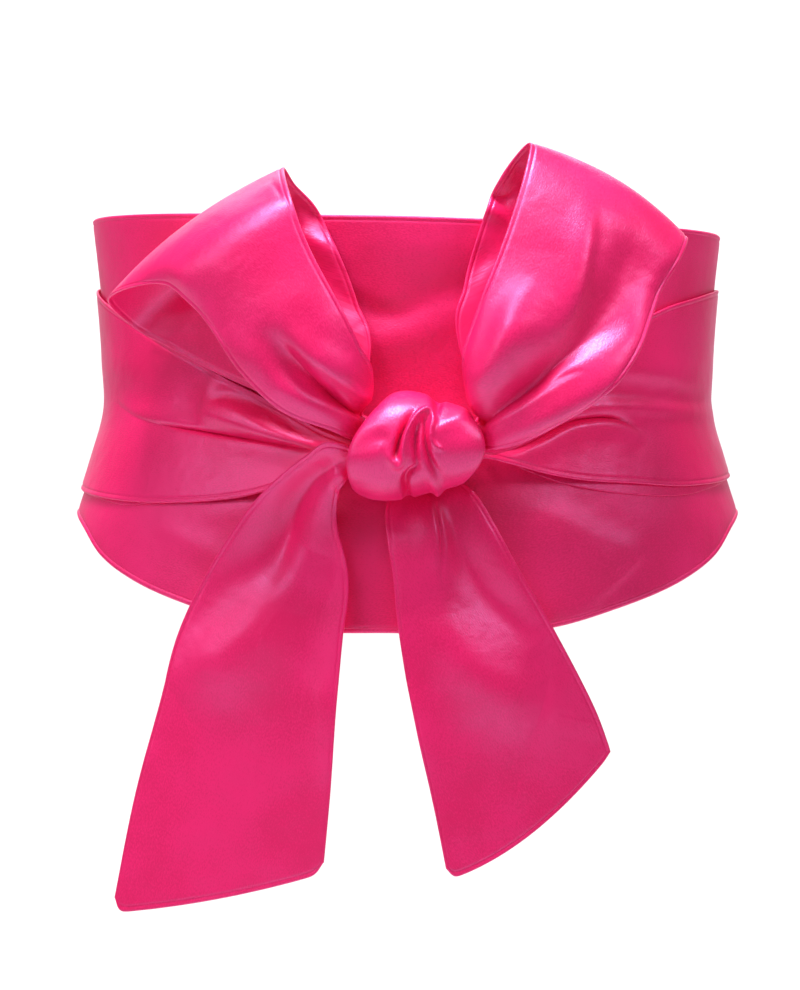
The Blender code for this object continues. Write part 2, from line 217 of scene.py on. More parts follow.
def shell(name, points, wall, seam=0.0, ends=(False, False)):
    """A closed cloth wall round a net of points. Its long edges are rounded, and the ends too
    where ends says so. seam is the share of the wall pressed in at the seam inside each edge."""
    rows, columns = points.shape[:2]
    along, across = lengths(points, 0), lengths(points, 1)
    inside = np.minimum(across, across[:, -1:] - across)
    if ends[0]:
        inside = np.minimum(inside, along)
    if ends[1]:
        inside = np.minimum(inside, along[-1:] - along)
    radius = wall / 2
    rounding = np.sqrt(np.clip(1 - (1 - np.minimum(inside / radius, 1)) ** 2, 0, 1))
    press = 1 - seam * np.exp(-(((inside - SEAM_INSET) / SEAM_WIDTH) ** 2))
    out = normals(points) * (radius * rounding * press)[..., None]
    number = np.arange(rows * columns).reshape(rows, columns)
    shared = np.zeros((rows, columns), bool)
    shared[:, 0] = shared[:, -1] = True
    if ends[0]:
        shared[0] = True
    if ends[1]:
        shared[-1] = True
    back = np.where(shared, number, number + rows * columns)
    faces = []
    for net, turned in ((number, False), (back, True)):
        a, b, c, d = (q.ravel() for q in (net[:-1, :-1], net[1:, :-1], net[1:, 1:], net[:-1, 1:]))
        faces.append(np.stack([d, c, b, a] if turned else [a, b, c, d], axis=-1))
    faces = np.concatenate(faces).tolist()
    for end, row in ((0, 0), (1, rows - 1)):
        if ends[end]:
            continue
        for c in range(columns - 1):
            face = [number[row, c], number[row, c + 1], back[row, c + 1], back[row, c]]
            face = list(dict.fromkeys(int(v) for v in face))
            faces.append(face if end == 0 else face[::-1])
    mesh = bpy.data.meshes.new(name)
    both = np.concatenate([(points + out).reshape(-1, 3), (points - out).reshape(-1, 3)])
    mesh.from_pydata((both * MM).tolist(), [], faces)
    cloth = np.stack([along, across], axis=-1).reshape(-1, 2) * MM
    on_cloth(mesh, np.concatenate([cloth, cloth]))
    return finished(name, mesh)


def on_cloth(mesh, place):
    """A UV map in metres along and across the cloth, from each vertex's place on it."""
    corner = np.empty(len(mesh.loops), int)
    mesh.loops.foreach_get("vertex_index", corner)
    layer = mesh.uv_layers.new(name="cloth")
    layer.data.foreach_set("uv", place[corner].ravel())


def finished(name, mesh):
    """The mesh as an object with outward faces, no loose points, and smooth shading."""
    bm = bmesh.new()
    bm.from_mesh(mesh)
    bmesh.ops.delete(bm, geom=[v for v in bm.verts if not v.link_faces], context="VERTS")
    bmesh.ops.recalc_face_normals(bm, faces=bm.faces)
    bm.to_mesh(mesh)
    bm.free()
    mesh.shade_smooth()
    obj = bpy.data.objects.new(name, mesh)
    bpy.context.scene.collection.objects.link(obj)
    return obj


HOT_PINK = (1.0, 0.014, 0.165)
DEEP_PINK = (0.88, 0.007, 0.118)
LAVENDER = (0.80, 0.42, 0.95, 1)
THREADS_PER_METRE = (1000, 1700, 1)
CLOUDS_PER_METRE = 26.0
PUCKERS_PER_METRE = 90.0
THREAD_TINT = 0.8
TINT_START = 0.75
TINT_END = 1.0
GLOSS_SPREAD = 0.14
THREAD_BUMP = 0.5
THREAD_DEPTH = 0.00015
PUCKER_BUMP = 0.6
PUCKER_DEPTH = 0.0008


def noise(tree, place, scale, detail):
    """The value of a noise pattern at a place."""
    node = tree.nodes.new("ShaderNodeTexNoise")
    node.inputs["Scale"].default_value = scale
    node.inputs["Detail"].default_value = detail
    tree.links.new(place, node.inputs["Vector"])
    return node.outputs["Fac"]


def bump(tree, height, strength, depth):
    """A bump that follows a pattern's value, with its depth in metres."""
    node = tree.nodes.new("ShaderNodeBump")
    node.inputs["Strength"].default_value = strength
    node.inputs["Distance"].default_value = depth
    tree.links.new(height, node.inputs["Height"])
    return node


def satin(name, roughness=0.38, grain=1.0):
    """Heavy satin: a warm pink ground under a pale sheen, with a fine grain of floating threads
    along the cloth and soft puckers."""
    material = bpy.data.materials.new(name)
    material.use_nodes = True
    tree = material.node_tree
    nodes, join = tree.nodes, tree.links.new
    shader = nodes["Principled BSDF"]
    cloth = nodes.new("ShaderNodeUVMap")
    cloth.uv_map = "cloth"
    floats = nodes.new("ShaderNodeMapping")
    floats.inputs["Scale"].default_value = THREADS_PER_METRE
    join(cloth.outputs["UV"], floats.inputs["Vector"])
    spot = nodes.new("ShaderNodeTexCoord").outputs["Object"]
    threads = noise(tree, floats.outputs["Vector"], scale=1.0, detail=1.0)
    clouds = noise(tree, spot, CLOUDS_PER_METRE, detail=3.0)
    puckers = noise(tree, spot, PUCKERS_PER_METRE, detail=2.0)
    blend = nodes.new("ShaderNodeMath")
    blend.operation = "MULTIPLY_ADD"
    blend.inputs[1].default_value = THREAD_TINT
    join(threads, blend.inputs[0])
    join(clouds, blend.inputs[2])
    colours = nodes.new("ShaderNodeValToRGB")
    deep, hot = colours.color_ramp.elements
    deep.position = TINT_START
    deep.color = (*DEEP_PINK, 1)
    hot.position = TINT_END
    hot.color = (*HOT_PINK, 1)
    join(blend.outputs["Value"], colours.inputs["Fac"])
    join(colours.outputs["Color"], shader.inputs["Base Color"])
    gloss = nodes.new("ShaderNodeMapRange")
    gloss.inputs["To Min"].default_value = roughness - GLOSS_SPREAD
    gloss.inputs["To Max"].default_value = roughness + GLOSS_SPREAD
    join(threads, gloss.inputs["Value"])
    join(gloss.outputs["Result"], shader.inputs["Roughness"])
    puckered = bump(tree, puckers, PUCKER_BUMP, PUCKER_DEPTH)
    grained = bump(tree, threads, THREAD_BUMP * grain, THREAD_DEPTH)
    join(puckered.outputs["Normal"], grained.inputs["Normal"])
    join(grained.outputs["Normal"], shader.inputs["Normal"])
    shader.inputs["IOR"].default_value = 1.7
    shader.inputs["Specular IOR Level"].default_value = 0.85
    shader.inputs["Specular Tint"].default_value = LAVENDER
    shader.inputs["Anisotropic"].default_value = 0.3
    return material


def dressed(obj, material, slot, *nodes):
    """Gives a piece its material, unless it has one, its body and the nodes that it
    stands for. slot is not used."""
    if material:
        obj.data.materials.append(material)
    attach(obj, "root")
    if nodes:
        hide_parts(*nodes)


PANEL_ROLLS = (
    fold_line(
        (340, 250, 0.6, 26, 24),
        (400, 246, 0.9, 26, 24),
        (470, 250, 0.6, 26, 24),
    ),
    fold_line(
        (350, 300, -1.2, 12, 14),
        (376, 312, -1.6, 12, 12),
        (400, 312, -1.0, 14, 12),
        (430, 296, -0.8, 16, 14),
        (465, 288, -0.8, 16, 14),
    ),
    fold_line(
        (364, 346, 0.6, 14, 20),
        (392, 342, 1.2, 14, 20),
        (424, 330, 1.1, 14, 18),
        (458, 318, 0.5, 14, 18),
    ),
    fold_line(
        (492, 498, 0.2, 14, 20),
        (524, 508, 1.0, 18, 26),
        (560, 522, 1.3, 20, 28),
        (596, 536, 1.1, 16, 24),
        (628, 544, 0.8, 10, 14),
        (648, 547, 0.0, 7, 9),
    ),
    fold_line(
        (646, 548, 0.0, 4, 12),
        (634, 560, 1.0, 6, 22),
        (616, 576, 1.5, 8, 30),
        (596, 592, 1.3, 10, 34),
        (576, 606, 0.6, 12, 34),
    ),
    fold_line(
        (560, 484, 0.0, 16, 12),
        (586, 508, -0.8, 20, 14),
        (614, 526, -0.7, 20, 14),
        (640, 536, 0.0, 16, 12),
    ),
    fold_line(
        (154, 524, 0.0, 9, 10),
        (176, 534, 0.9, 10, 12),
        (200, 546, 1.2, 11, 14),
        (228, 562, 0.8, 12, 14),
    ),
    fold_line(
        (186, 516, 0.0, 10, 12),
        (214, 512, 0.8, 10, 14),
        (244, 506, 0.8, 10, 14),
    ),
)
PANEL_SATIN = satin("panel_satin", roughness=0.46, grain=1.3)

turn = np.linspace(-PANEL_HALF_TURN, PANEL_HALF_TURN, 330)[:, None]
across = crowded(84, PANEL_HEIGHT)[None, :]
turn, across = np.broadcast_arrays(turn, across)
top = read(PANEL, "top", abs(turn)) - PANEL_TOP_TILT * np.sin(turn * pi / 180)
bottom = read(PANEL, "bottom", abs(turn))
height = bottom + (top - bottom) * across
level = PANEL_LEVEL
seen = in_picture(on_waist(turn, height, 0))
for line in PANEL_ROLLS:
    level = level + fade((abs(turn) - PANEL_FOLDS_TURN) / PANEL_FOLDS_FADE) * roll(seen, line)
panel = on_waist(turn, height, level)
front_panel = shell("front_panel_cloth", panel, PANEL_WALL, seam=PANEL_SEAM, ends=(True, True))
dressed(front_panel, PANEL_SATIN, "panel_satin", "front_panel")

# Hem band
# A narrow satin roll along the panel's lower edge: its facing, turned to the front and pressed,
# with a groove above it where it is stitched in the ditch.

BAND_RADIUS = 1.25
BAND_RISE = 1.0
BAND_HALF_TURN = 139.0
BAND_SIDES = 14
WAIST_RADIUS = 115.0


def socket(tree, name):
    """The identifier of a tree's named input."""
    return next(item.identifier for item in tree.interface.items_tree if item.name == name)


def along_path(name, points, tree, material, **sizes):
    """The plain mesh that a node tree makes along a path of points in mm."""
    path = bpy.data.meshes.new(name)
    path.from_pydata((points * MM).tolist(), [(k, k + 1) for k in range(len(points) - 1)], [])
    guide = bpy.data.objects.new(name, path)
    bpy.context.scene.collection.objects.link(guide)
    maker = guide.modifiers.new("maker", "NODES")
    maker.node_group = tree
    for key, size in sizes.items():
        maker[socket(tree, key)] = size
    maker[socket(tree, "Material")] = material
    depsgraph = bpy.context.evaluated_depsgraph_get()
    mesh = bpy.data.meshes.new_from_object(guide.evaluated_get(depsgraph))
    bpy.data.objects.remove(guide)
    return mesh


def node_tree(name, **inputs):
    """A new tree that takes a path and gives a geometry, with the inputs named."""
    tree = bpy.data.node_groups.new(name, "GeometryNodeTree")
    tree.interface.new_socket("Geometry", in_out="INPUT", socket_type="NodeSocketGeometry")
    for key, kind in inputs.items():
        tree.interface.new_socket(key, in_out="INPUT", socket_type="NodeSocket" + kind)
    tree.interface.new_socket("Material", in_out="INPUT", socket_type="NodeSocketMaterial")
    tree.interface.new_socket("Geometry", in_out="OUTPUT", socket_type="NodeSocketGeometry")
    return tree, tree.nodes.new("NodeGroupInput"), tree.nodes.new("NodeGroupOutput")


def passed_on(tree, given, geometry, result):
    """The tree's end: the geometry made real, in the given material, goes to the result."""
    real = tree.nodes.new("GeometryNodeRealizeInstances")
    dress = tree.nodes.new("GeometryNodeSetMaterial")
    tree.links.new(geometry, real.inputs["Geometry"])
    tree.links.new(real.outputs["Geometry"], dress.inputs["Geometry"])
    tree.links.new(given.outputs["Material"], dress.inputs["Material"])
    tree.links.new(dress.outputs["Geometry"], result.inputs["Geometry"])
    return tree


def round_the_waist(mesh):
    """A UV map in metres round the waist and up."""
    spot = np.empty(len(mesh.vertices) * 3)
    mesh.vertices.foreach_get("co", spot)
    x, y, z = spot.reshape(-1, 3).T
    on_cloth(mesh, np.stack([WAIST_RADIUS * MM * np.arctan2(x, -y), z], axis=-1))


def roll_tree():
    """A closed roll of cloth along the path."""
    tree, given, result = node_tree("hem roll", Radius="Float")
    line = tree.nodes.new("GeometryNodeMeshToCurve")
    ring = tree.nodes.new("GeometryNodeCurvePrimitiveCircle")
    ring.inputs["Resolution"].default_value = BAND_SIDES
    sweep = tree.nodes.new("GeometryNodeCurveToMesh")
    sweep.inputs["Fill Caps"].default_value = True
    join = tree.links.new
    join(given.outputs["Geometry"], line.inputs["Mesh"])
    join(given.outputs["Radius"], ring.inputs["Radius"])
    join(line.outputs["Curve"], sweep.inputs["Curve"])
    join(ring.outputs["Curve"], sweep.inputs["Profile Curve"])
    return passed_on(tree, given, sweep.outputs["Mesh"], result)


turn = np.linspace(-BAND_HALF_TURN, BAND_HALF_TURN, 420)
hem = on_waist(turn, read(PANEL, "bottom", abs(turn)) + BAND_RISE, PANEL_LEVEL)
band_mesh = along_path("hem_path", hem, roll_tree(), PANEL_SATIN, Radius=BAND_RADIUS * MM)
round_the_waist(band_mesh)
hem_band = finished("hem_band", band_mesh)
dressed(hem_band, None, "panel_satin")

# Wrapped stretches of the ties
# Each tie is a satin tube 9 cm wide, pressed flat. It starts at the panel's end behind, passes
# the other tie at the middle of the back and comes forward round the side, gathered to the knot.

TIE_WALL = 1.2
WRAP_WIDTH = 86.0
WRAP_SEAM = 0.45
WRAP_CROWDING = 1.15
WRAP_FOLDS_TURN = 78.0
WRAP_FOLDS_FADE = 22.0
PLEATS_TURN = 132.0
PLEATS_REACH = 6.0
PLEATS_FADE = 26.0
PLEAT_DRIFT = 0.05
WRAP_LEFT = table(
    "turn low high level",
    (7.3, -23.5, -17.0, 13.5),
    (9.6, -25.0, -14.5, 13.2),
    (14, -28.0, -10.5, 10.5),
    (20, -32.5, -3.5, 6.0),
    (27, -37.0, 4.0, 3.2),
    (34, -39.0, 11.0, 1.9),
    (41, -39.7, 18.0, 1.5),
    (50, -39.7, 26.5, 1.4),
    (62, -38.3, 36.5, 1.3),
    (75, -36.0, 45.0, 1.3),
    (90, -33.5, 51.5, 1.3),
    (120, -35.0, 51.0, 1.3),
    (150, -30.0, 50.0, 1.4),
    (163, -14.0, 48.5, 1.5),
    (172, 4.2, 46.0, 1.5),
    (180, 3.4, 45.0, -0.1),
    (188, 4.0, 45.0, -1.7),
    (198, -22.0, 46.5, -1.7),
    (208, -39.0, 46.5, -1.4),
    (219.3, -42.0, 46.0, -1.0),
)
WRAP_RIGHT = table(
    "turn low high level",
    (9.8, -22.5, -14.5, 13.0),
    (12.0, -22.0, -12.5, 13.0),
    (16, -24.0, -7.0, 10.5),
    (23, -28.0, 6.0, 5.5),
    (30, -30.5, 17.0, 2.8),
    (41, -31.8, 30.0, 1.6),
    (54, -33.0, 41.0, 1.3),
    (65, -32.0, 45.8, 1.3),
    (90, -28.4, 51.6, 1.3),
    (120, -29.5, 50.0, 1.3),
    (150, -33.0, 44.0, 1.4),
    (163, -36.5, 23.0, 1.5),
    (172, -38.5, 2.0, 1.5),
    (180, -38.0, 2.2, -0.1),
    (188, -38.5, 2.0, -1.7),
    (198, -41.0, 28.0, -1.7),
    (208, -42.0, 44.0, -1.4),
    (219.3, -42.0, 46.0, -1.0),
)
WRAP_LEFT_ROLLS = (
    fold_line(
        (312, 436, 0.2, 7, 8),
        (296, 418, 0.6, 8, 10),
        (276, 401, 0.8, 9, 12),
        (256, 389, 1.2, 10, 14),
        (234, 383, 1.6, 11, 15),
        (216, 387, 1.8, 11, 14),
        (208, 398, 1.8, 11, 13),
        (212, 411, 1.8, 11, 12),
        (230, 420, 2.0, 11, 9),
        (254, 429, 2.4, 10, 7),
        (280, 437, 2.4, 8, 6),
        (304, 444, 1.6, 6, 5),
        (320, 449, 0.4, 5, 5),
    ),
    fold_line(
        (202, 402, 0.0, 14, 14),
        (218, 406, 3.6, 13, 16),
        (240, 413, 5.0, 14, 16),
        (266, 424, 4.0, 13, 12),
        (292, 437, 1.6, 9, 8),
        (314, 446, 0.0, 6, 6),
    ),
    fold_line(
        (100, 352, 0.0, 20, 20),
        (125, 362, 0.7, 22, 20),
        (150, 382, 0.9, 22, 20),
        (176, 402, 0.5, 18, 16),
        (196, 412, 0.0, 14, 12),
    ),
    fold_line(
        (156, 423, 0.0, 3, 3),
        (180, 428, -1.1, 3, 3),
        (205, 432, -1.8, 3, 3),
        (235, 437, -1.6, 3, 3),
        (262, 441, -1.4, 3, 3),
        (290, 446, -1.4, 3, 3),
        (318, 451, 0.0, 3, 3),
    ),
)
WRAP_LEFT_TUCKS = (
    tuck_line(
        (114, 398, 0.0, 0.0),
        (122, 406, 0.6, 0.2),
        (136, 416, 1.0, 0.2),
        (156, 423, 1.6, 0.3),
        (178, 427, 2.3, 0.4),
        (205, 431, 2.4, 0.6),
        (235, 436, 1.5, 1.0),
        (262, 441, 1.3, 1.1),
        (290, 446, 1.1, 1.1),
        (320, 452, 0.6, 0.8),
    ),
)
WRAP_RIGHT_ROLLS = (
    fold_line(
        (548, 410, 0.6, 9, 9),
        (575, 408, 1.2, 9, 8),
        (610, 406, 1.6, 8, 8),
        (650, 408, 1.6, 8, 9),
        (685, 411, 1.1, 8, 10),
        (715, 414, 0.4, 10, 12),
    ),
    fold_line(
        (590, 376, 0.4, 16, 9),
        (620, 371, 1.2, 20, 11),
        (655, 373, 1.4, 22, 11),
        (690, 382, 0.8, 20, 10),
        (714, 392, 0.2, 18, 10),
    ),
    fold_line(
        (496, 436, 1.2, 8, 8),
        (520, 428, 2.0, 9, 9),
        (545, 418, 1.6, 8, 8),
        (568, 412, 0.6, 7, 7),
    ),
    fold_line(
        (502, 454, 0.0, 3, 3),
        (522, 447, -0.9, 3, 3),
        (544, 436, -1.3, 3, 3),
        (562, 426, -1.8, 3, 3),
        (582, 420, -1.8, 3, 3),
        (606, 418, -1.5, 3, 3),
        (626, 423, -0.8, 3, 3),
        (640, 432, 0.0, 3, 3),
    ),
)
WRAP_RIGHT_TUCKS = (
    tuck_line(
        (494, 455, 0.3, 0.6),
        (518, 448, 0.7, 1.6),
        (540, 438, 0.9, 2.0),
        (557, 428, 0.9, 2.1),
        (572, 421, 0.9, 2.2),
        (594, 418, 0.9, 2.3),
        (614, 419, 0.9, 2.2),
        (628, 424, 0.7, 1.7),
        (640, 432, 0.3, 0.8),
        (648, 440, 0.0, 0.0),
    ),
)
WRAP_LEFT_UNDER = table(
    "turn drop",
    (44, -0.6),
    (50, 0.5),
    (55, 1.6),
    (60, 1.5),
    (66, 0.9),
    (76, 0.4),
    (88, 0.0),
)
WRAP_RIGHT_UNDER = table(
    "turn drop",
    (19, -0.4),
    (23, 0.9),
    (27, 2.2),
    (33, 3.3),
    (39, 4.4),
    (49, 4.3),
    (57, 3.4),
    (70, 1.3),
    (82, 0.2),
)
UNDER_LEVEL = 0.36
UNDER_WALL = 0.5
UNDER_LAP = 3.0
PLEATS = table(
    "place high wide",
    (0.20, 0.8, 0.08),
    (0.46, 0.6, 0.10),
    (0.73, 0.9, 0.07),
)
TIE_SATIN = satin("tie_satin")


def wrap(name, side, rows, rolls, tucks, sections=360):
    """side is 1 for the tie at the picture's right and -1 for the other. The traced folds fade
    out behind the side, and the pleats of the hidden stretch set in there."""
    share = np.linspace(0, 1, sections)[:, None] ** WRAP_CROWDING
    across = crowded(110, WRAP_WIDTH)[None, :]
    share, across = np.broadcast_arrays(share, across)
    first, last = rows["turn"][0], rows["turn"][-1]
    turn = first + (last - first) * share
    low, high = read(rows, "low", turn), read(rows, "high", turn)
    height = low + (high - low) * across
    level = read(rows, "level", turn)
    seen = in_picture(on_waist(side * turn, height, level))
    front = fade((turn - WRAP_FOLDS_TURN) / WRAP_FOLDS_FADE)
    for line in rolls:
        level = level + front * roll(seen, line)
    for line in tucks:
        level = level + front * tuck(seen, line)
    behind = fade((abs(turn - PLEATS_TURN) - PLEATS_REACH) / PLEATS_FADE)
    for place, rise, wide in zip(*PLEATS.values()):
        drift = PLEAT_DRIFT * np.sin(turn / 9 + 8 * place + side)
        level = level + rise * behind * np.exp(-(((across - place - drift) / wide) ** 2))
    obj = shell(name, on_waist(side * turn, height, level), TIE_WALL, seam=WRAP_SEAM)
    dressed(obj, TIE_SATIN, "tie_satin", name.replace("_cloth", ""))
    return obj


wrap_left = wrap("wrap_left_cloth", -1, WRAP_LEFT, WRAP_LEFT_ROLLS, WRAP_LEFT_TUCKS)
wrap_right = wrap("wrap_right_cloth", 1, WRAP_RIGHT, WRAP_RIGHT_ROLLS, WRAP_RIGHT_TUCKS)


def under_layer(name, side, rows, drops):
    """The tie's back layer, where it slips out below the front one."""
    turn = np.linspace(drops["turn"][0], drops["turn"][-1], 120)[:, None]
    across = (1 - np.cos(np.linspace(0, pi, 19)))[None, :] / 2
    turn, across = np.broadcast_arrays(turn, across)
    edge = read(rows, "low", turn)
    low = edge - read(drops, "drop", turn)
    height = low + (edge + UNDER_LAP - low) * across
    obj = shell(name, on_waist(side * turn, height, UNDER_LEVEL), UNDER_WALL)
    dressed(obj, TIE_SATIN, "tie_satin")
    return obj


left_under = under_layer("wrap_left_under_layer", -1, WRAP_LEFT, WRAP_LEFT_UNDER)
right_under = under_layer("wrap_right_under_layer", 1, WRAP_RIGHT, WRAP_RIGHT_UNDER)

# Stitches
# Each tie is sewn to an end of the panel behind the sides, edge to edge, with short slanted hand
# stitches in matching thread over the join.

STITCH_LENGTH = 3.4
STITCH_SPACING = 3.2
THREAD = 0.45
JOIN_TURN = 140.35
JOIN_LOW = -40.0
JOIN_HIGH = 43.5
STITCH_LEVEL = -0.15
STITCH_SLANT = 0.35


def stitch_tree():
    """Short stitches at even steps along the path, all lying the same way."""
    tree, given, result = node_tree(
        "stitches", Spacing="Float", Length="Float", Thickness="Float", Along="Vector"
    )
    line = tree.nodes.new("GeometryNodeMeshToCurve")
    steps = tree.nodes.new("GeometryNodeResampleCurve")
    steps.mode = "LENGTH"
    thread = tree.nodes.new("GeometryNodeMeshUVSphere")
    thread.inputs["Segments"].default_value = 10
    thread.inputs["Rings"].default_value = 8
    thread.inputs["Radius"].default_value = 0.5
    size = tree.nodes.new("ShaderNodeCombineXYZ")
    lie = tree.nodes.new("FunctionNodeAlignRotationToVector")
    lie.axis = "X"
    sew = tree.nodes.new("GeometryNodeInstanceOnPoints")
    join = tree.links.new
    join(given.outputs["Geometry"], line.inputs["Mesh"])
    join(line.outputs["Curve"], steps.inputs["Curve"])
    join(given.outputs["Spacing"], steps.inputs["Length"])
    join(given.outputs["Length"], size.inputs["X"])
    join(given.outputs["Thickness"], size.inputs["Y"])
    join(given.outputs["Thickness"], size.inputs["Z"])
    join(given.outputs["Along"], lie.inputs["Vector"])
    join(steps.outputs["Curve"], sew.inputs["Points"])
    join(thread.outputs["Mesh"], sew.inputs["Instance"])
    join(lie.outputs["Rotation"], sew.inputs["Rotation"])
    join(size.outputs["Vector"], sew.inputs["Scale"])
    return passed_on(tree, given, sew.outputs["Instances"], result)


hand_stitch = stitch_tree()
for name, side in (("left_tie_stitches", 1), ("right_tie_stitches", -1)):
    height = np.linspace(JOIN_LOW, JOIN_HIGH, 40)
    join_turn = side * (JOIN_TURN + 0 * height)
    join_line = on_waist(join_turn, height, STITCH_LEVEL)
    ahead = on_waist(join_turn[:2] + 1, height[:2], STITCH_LEVEL)[0] - join_line[0]
    along = ahead / np.linalg.norm(ahead) + [0, 0, STITCH_SLANT]
    sewn = along_path(
        name, join_line, hand_stitch, TIE_SATIN,
        Spacing=STITCH_SPACING * MM, Length=STITCH_LENGTH * MM, Thickness=THREAD * MM, Along=along,
    )
    round_the_waist(sewn)
    dressed(finished(name, sewn), None, "tie_satin")

# Bow loops
# The next stretch of each tie: out of the knot, over a rounded fold and back into it. The two
# layers stand apart, and the inner face of the back one shows at the loop's open sides.

LOOP_WIDTH = 84.0
LOOP_SEAM = 0.5
LOOP_ROOT = 0.05
FRONT_LAYER_END = 0.40
FRONT_LAYER_FADE = 0.12
BACK_LAYER_START = 0.52
BACK_LAYER_END = 0.86
BACK_LAYER_FADE = 0.10
LOOP_LEFT = table(
    "at low_x low_y low_z high_x high_y high_z crown",
    (0.00, -17.0, -124.0, -15.5, -14.8, -117.0, -6.5, 0.0),
    (0.03, -23.0, -127.5, -14.5, -17.8, -119.5, -3.0, 0.4),
    (0.06, -30.0, -131.0, -11.5, -14.8, -124.0, 8.0, 1.5),
    (0.14, -50.0, -136.0, -3.5, -19.5, -136.5, 23.0, 4.0),
    (0.22, -66.0, -134.0, 11.5, -28.0, -139.5, 40.0, 7.0),
    (0.30, -78.0, -129.5, 29.0, -37.0, -137.5, 57.0, 6.5),
    (0.36, -86.7, -124.0, 39.2, -42.4, -134.5, 68.7, 6.0),
    (0.42, -98.4, -115.5, 47.5, -46.3, -129.0, 81.4, 5.5),
    (0.46, -111.2, -104.5, 47.4, -48.6, -121.0, 89.4, 5.0),
    (0.50, -122.0, -87.0, 43.1, -49.4, -110.0, 94.3, 4.5),
    (0.55, -115.0, -68.0, 34.0, -45.5, -102.0, 88.5, 2.0),
    (0.62, -99.0, -72.0, 24.5, -37.5, -99.0, 80.0, -4.0),
    (0.72, -76.0, -85.5, 12.0, -28.5, -99.5, 62.0, -5.5),
    (0.82, -56.0, -97.5, 3.0, -20.5, -103.0, 42.0, -4.0),
    (0.92, -36.0, -107.0, -8.0, -15.0, -108.0, 18.0, -1.0),
    (0.96, -26.5, -111.5, -12.3, -18.2, -111.0, -2.0, 0.0),
    (1.00, -17.1, -115.5, -16.0, -14.9, -112.0, -7.5, 0.0),
)
LOOP_RIGHT = table(
    "at low_x low_y low_z high_x high_y high_z crown",
    (0.00, 24.9, -125.0, -19.0, 24.9, -117.5, -9.0, 0.0),
    (0.03, 31.5, -128.5, -19.0, 27.8, -120.5, -4.5, 0.4),
    (0.06, 38.0, -131.5, -18.0, 22.8, -127.0, 3.0, 1.5),
    (0.14, 56.0, -136.0, -10.0, 19.5, -136.5, 16.0, 4.0),
    (0.22, 74.0, -134.5, 3.0, 24.0, -138.0, 31.0, 7.0),
    (0.30, 88.4, -129.5, 17.9, 30.5, -137.0, 45.9, 7.5),
    (0.36, 97.7, -123.5, 31.8, 36.4, -134.0, 60.8, 7.0),
    (0.42, 105.5, -115.5, 47.1, 41.9, -129.0, 76.7, 6.5),
    (0.46, 110.9, -106.5, 58.5, 45.9, -122.5, 90.1, 6.0),
    (0.50, 113.6, -91.5, 67.1, 48.7, -112.5, 103.4, 5.5),
    (0.55, 109.0, -76.0, 58.0, 42.5, -106.5, 99.0, 2.0),
    (0.62, 99.5, -75.5, 41.0, 35.5, -103.0, 88.5, -3.0),
    (0.72, 80.0, -86.0, 19.0, 28.0, -103.0, 68.0, -5.0),
    (0.82, 62.0, -96.5, 6.0, 22.5, -104.5, 48.0, -4.0),
    (0.92, 42.0, -106.0, -5.0, 20.5, -107.5, 22.0, -1.0),
    (0.96, 32.5, -110.8, -10.0, 27.6, -110.5, -2.5, 0.0),
    (1.00, 24.9, -115.5, -14.0, 24.9, -112.0, -8.5, 0.0),
)
LOOP_LEFT_ROLLS = (
    fold_line(
        (128, 318, 0.0, 22, 22),
        (148, 306, 1.2, 26, 24),
        (174, 288, 2.6, 30, 28),
        (210, 260, 3.6, 34, 32),
        (244, 236, 3.6, 34, 32),
        (276, 220, 3.0, 32, 30),
        (304, 206, 2.0, 30, 26),
    ),
    fold_line(
        (362, 416, -2.6, 4, 4),
        (346, 406, -4.6, 5, 4),
        (330, 394, -6.6, 8, 5),
        (312, 379, -7.0, 14, 5),
        (296, 362, -5.6, 22, 7),
        (280, 348, -3.4, 26, 12),
        (258, 336, -1.0, 26, 20),
        (232, 328, 0.0, 26, 24),
    ),
    fold_line(
        (372, 404, 1.0, 5, 12),
        (354, 390, 3.2, 6, 18),
        (337, 376, 4.4, 7, 22),
        (319, 361, 4.0, 8, 22),
        (302, 347, 2.2, 10, 22),
        (284, 334, 0.4, 12, 18),
        (270, 326, 0.0, 12, 18),
    ),
    fold_line(
        (344, 424, 0.8, 6, 8),
        (322, 413, 1.6, 9, 9),
        (296, 396, 1.8, 12, 11),
        (270, 374, 1.6, 14, 14),
        (246, 350, 0.8, 14, 16),
        (226, 326, 0.0, 14, 16),
    ),
    fold_line(
        (350, 350, 0.0, 14, 14),
        (330, 326, 0.8, 16, 16),
        (312, 300, 0.5, 16, 16),
        (296, 272, 0.0, 16, 16),
    ),
    fold_line(
        (108, 304, -1.0, 10, 10),
        (124, 294, -2.5, 12, 12),
        (146, 287, -3.2, 13, 13),
        (166, 286, -3.0, 12, 12),
        (184, 297, -2.0, 10, 10),
        (198, 314, -1.0, 8, 8),
        (212, 338, 0.0, 8, 8),
    ),
    fold_line(
        (272, 180, 0.0, 3, 3),
        (276, 188, -0.7, 3, 3),
        (281, 197, -0.7, 3, 3),
        (286, 206, 0.0, 3, 3),
    ),
)
LOOP_LEFT_BACK_ROLLS = (
    fold_line(
        (296, 196, -1.2, 9, 9),
        (312, 215, -1.8, 9, 9),
        (330, 226, -1.2, 9, 9),
    ),
    fold_line(
        (306, 238, 1.5, 9, 12),
        (326, 248, 2.6, 9, 14),
        (344, 262, 1.4, 9, 12),
    ),
    fold_line(
        (326, 286, -1.0, 12, 14),
        (346, 300, -2.0, 12, 16),
        (362, 318, -1.0, 12, 14),
    ),
    fold_line(
        (150, 322, 0.0, 14, 14),
        (190, 338, -0.7, 16, 16),
        (226, 366, -0.7, 12, 14),
        (262, 396, 0.0, 8, 10),
    ),
)
